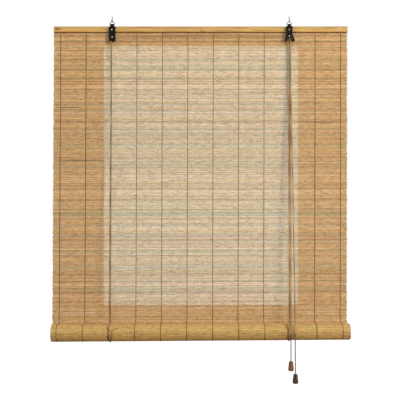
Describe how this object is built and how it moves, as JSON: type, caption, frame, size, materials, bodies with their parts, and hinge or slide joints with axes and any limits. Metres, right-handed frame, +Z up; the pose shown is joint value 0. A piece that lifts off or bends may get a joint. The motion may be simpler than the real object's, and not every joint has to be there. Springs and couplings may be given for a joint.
{
  "type": "bamboo roll up blind",
  "caption": "Split-bamboo window blind that rolls up from below on two cord loops, with a clamping head rail, hooked pulleys, a cord lock and turned wood pulls.",
  "frame": {"origin": "midway between the two screw hooks' shanks, in the plane of the ceiling or lintel they are screwed into", "axes": "+X along the head rail, to the right as seen from the front; +Y behind the blind; +Z up"},
  "size_m": [1.005, 0.0881, 1.2353],
  "materials": {
    "rail_wood": "planed yellow wood, unvarnished",
    "bamboo": "split bamboo, matt",
    "rolled_bamboo": "split bamboo, matt",
    "warp_thread": "brown spun thread",
    "black_wire": "black lacquer on bent wire",
    "black_sheet": "black lacquer on folded sheet",
    "nail_steel": "dull steel",
    "screw_steel": "darkened steel",
    "sheave_zinc": "die-cast zinc, worn in the grooves",
    "plated_rivet": "bright plating",
    "roller_brass": "knurled brass",
    "cord": "grey-brown braided cord",
    "tassel_wood_light": "stained turned wood",
    "tassel_wood_dark": "stained turned wood, darker"
  },
  "bodies": {
    "head": {"head_rail_front": "rail_wood", "head_rail_back": "rail_wood", "rail_nails": "nail_steel", "mat_slats": "bamboo", "mat_warps": "warp_thread", "left_screw_hook": "black_wire", "right_screw_hook": "black_wire", "left_hanger_ring": "black_wire", "right_hanger_ring": "black_wire", "left_pulley_housing": "black_sheet", "right_lock_housing": "black_sheet", "housing_screws": "screw_steel", "screw_spacers": "screw_steel", "left_axle_rivet": "plated_rivet", "right_axle_rivet": "plated_rivet", "lock_anvil_pin": "screw_steel", "cord_eyes": "screw_steel", "lift_cord_knots": "cord", "lift_cord_left_back": "cord", "lift_cord_left_front": "cord", "lift_cord_left_run": "cord", "lift_cord_right_back": "cord", "lift_cord_right_front": "cord", "lift_cord_right_run": "cord", "pull_cord_1_upper": "cord", "pull_cord_2_upper": "cord"},
    "left_sheave": {"left_sheave": "sheave_zinc"},
    "right_sheave": {"right_sheave": "sheave_zinc"},
    "lock_roller": {"lock_roller": "roller_brass", "lock_pin": "screw_steel"},
    "roll_carrier": {"lift_cord_left_bend": "cord", "lift_cord_right_bend": "cord", "pull_cord_1_lower": "cord", "pull_cord_2_lower": "cord"},
    "roll": {"mat_roll": "rolled_bamboo", "core_batten_front": "rail_wood", "core_batten_back": "rail_wood", "core_nails": "nail_steel"},
    "tassel_1": {"tassel_1": "tassel_wood_light", "tassel_knot_1": "cord"},
    "tassel_2": {"tassel_2": "tassel_wood_dark", "tassel_knot_2": "cord"}
  },
  "joints": [
    {"name": "blind_lift", "type": "slide", "parent": "head", "child": "roll_carrier", "axis": [0, 0, 1], "range_m": [0, 0.8884], "deforming": ["mat_slats", "mat_warps", "lift_cord_left_back", "lift_cord_right_back", "lift_cord_left_front", "lift_cord_right_front", "pull_cord_1_upper", "pull_cord_2_upper"]},
    {"name": "roll_spin", "type": "hinge", "parent": "roll_carrier", "child": "roll", "pos_m": [0, -0.01745, -1.06128], "axis": [1, 0, 0], "range_deg": [-1441.44, 0]},
    {"name": "tassel_1_pull", "type": "slide", "parent": "roll_carrier", "child": "tassel_1", "axis": [0, 0, 1], "range_m": [-2.6652, 0], "deforming": ["pull_cord_1_lower"]},
    {"name": "tassel_2_pull", "type": "slide", "parent": "roll_carrier", "child": "tassel_2", "axis": [0, 0, 1], "range_m": [-2.6652, 0], "deforming": ["pull_cord_2_lower"]},
    {"name": "left_sheave_spin", "type": "hinge", "parent": "head", "child": "left_sheave", "pos_m": [-0.3005, 0, -0.06448], "axis": [0, 1, 0], "continuous": true},
    {"name": "right_sheave_spin", "type": "hinge", "parent": "head", "child": "right_sheave", "pos_m": [0.3005, 0, -0.06048], "axis": [0, 1, 0], "continuous": true},
    {"name": "lock_roller_slide", "type": "slide", "parent": "head", "child": "lock_roller", "axis": [0.5, 0, 0.866], "range_m": [0, 0.004]}
  ],
  "couplings": [
    {"joint": "roll_spin", "follows": "blind_lift", "rad_per_m": -28.29},
    {"joint": "tassel_1_pull", "follows": "blind_lift", "ratio": -3},
    {"joint": "tassel_2_pull", "follows": "blind_lift", "ratio": -3},
    {"joint": "left_sheave_spin", "follows": "blind_lift", "rad_per_m": 500},
    {"joint": "right_sheave_spin", "follows": "blind_lift", "rad_per_m": 500}
  ]
}
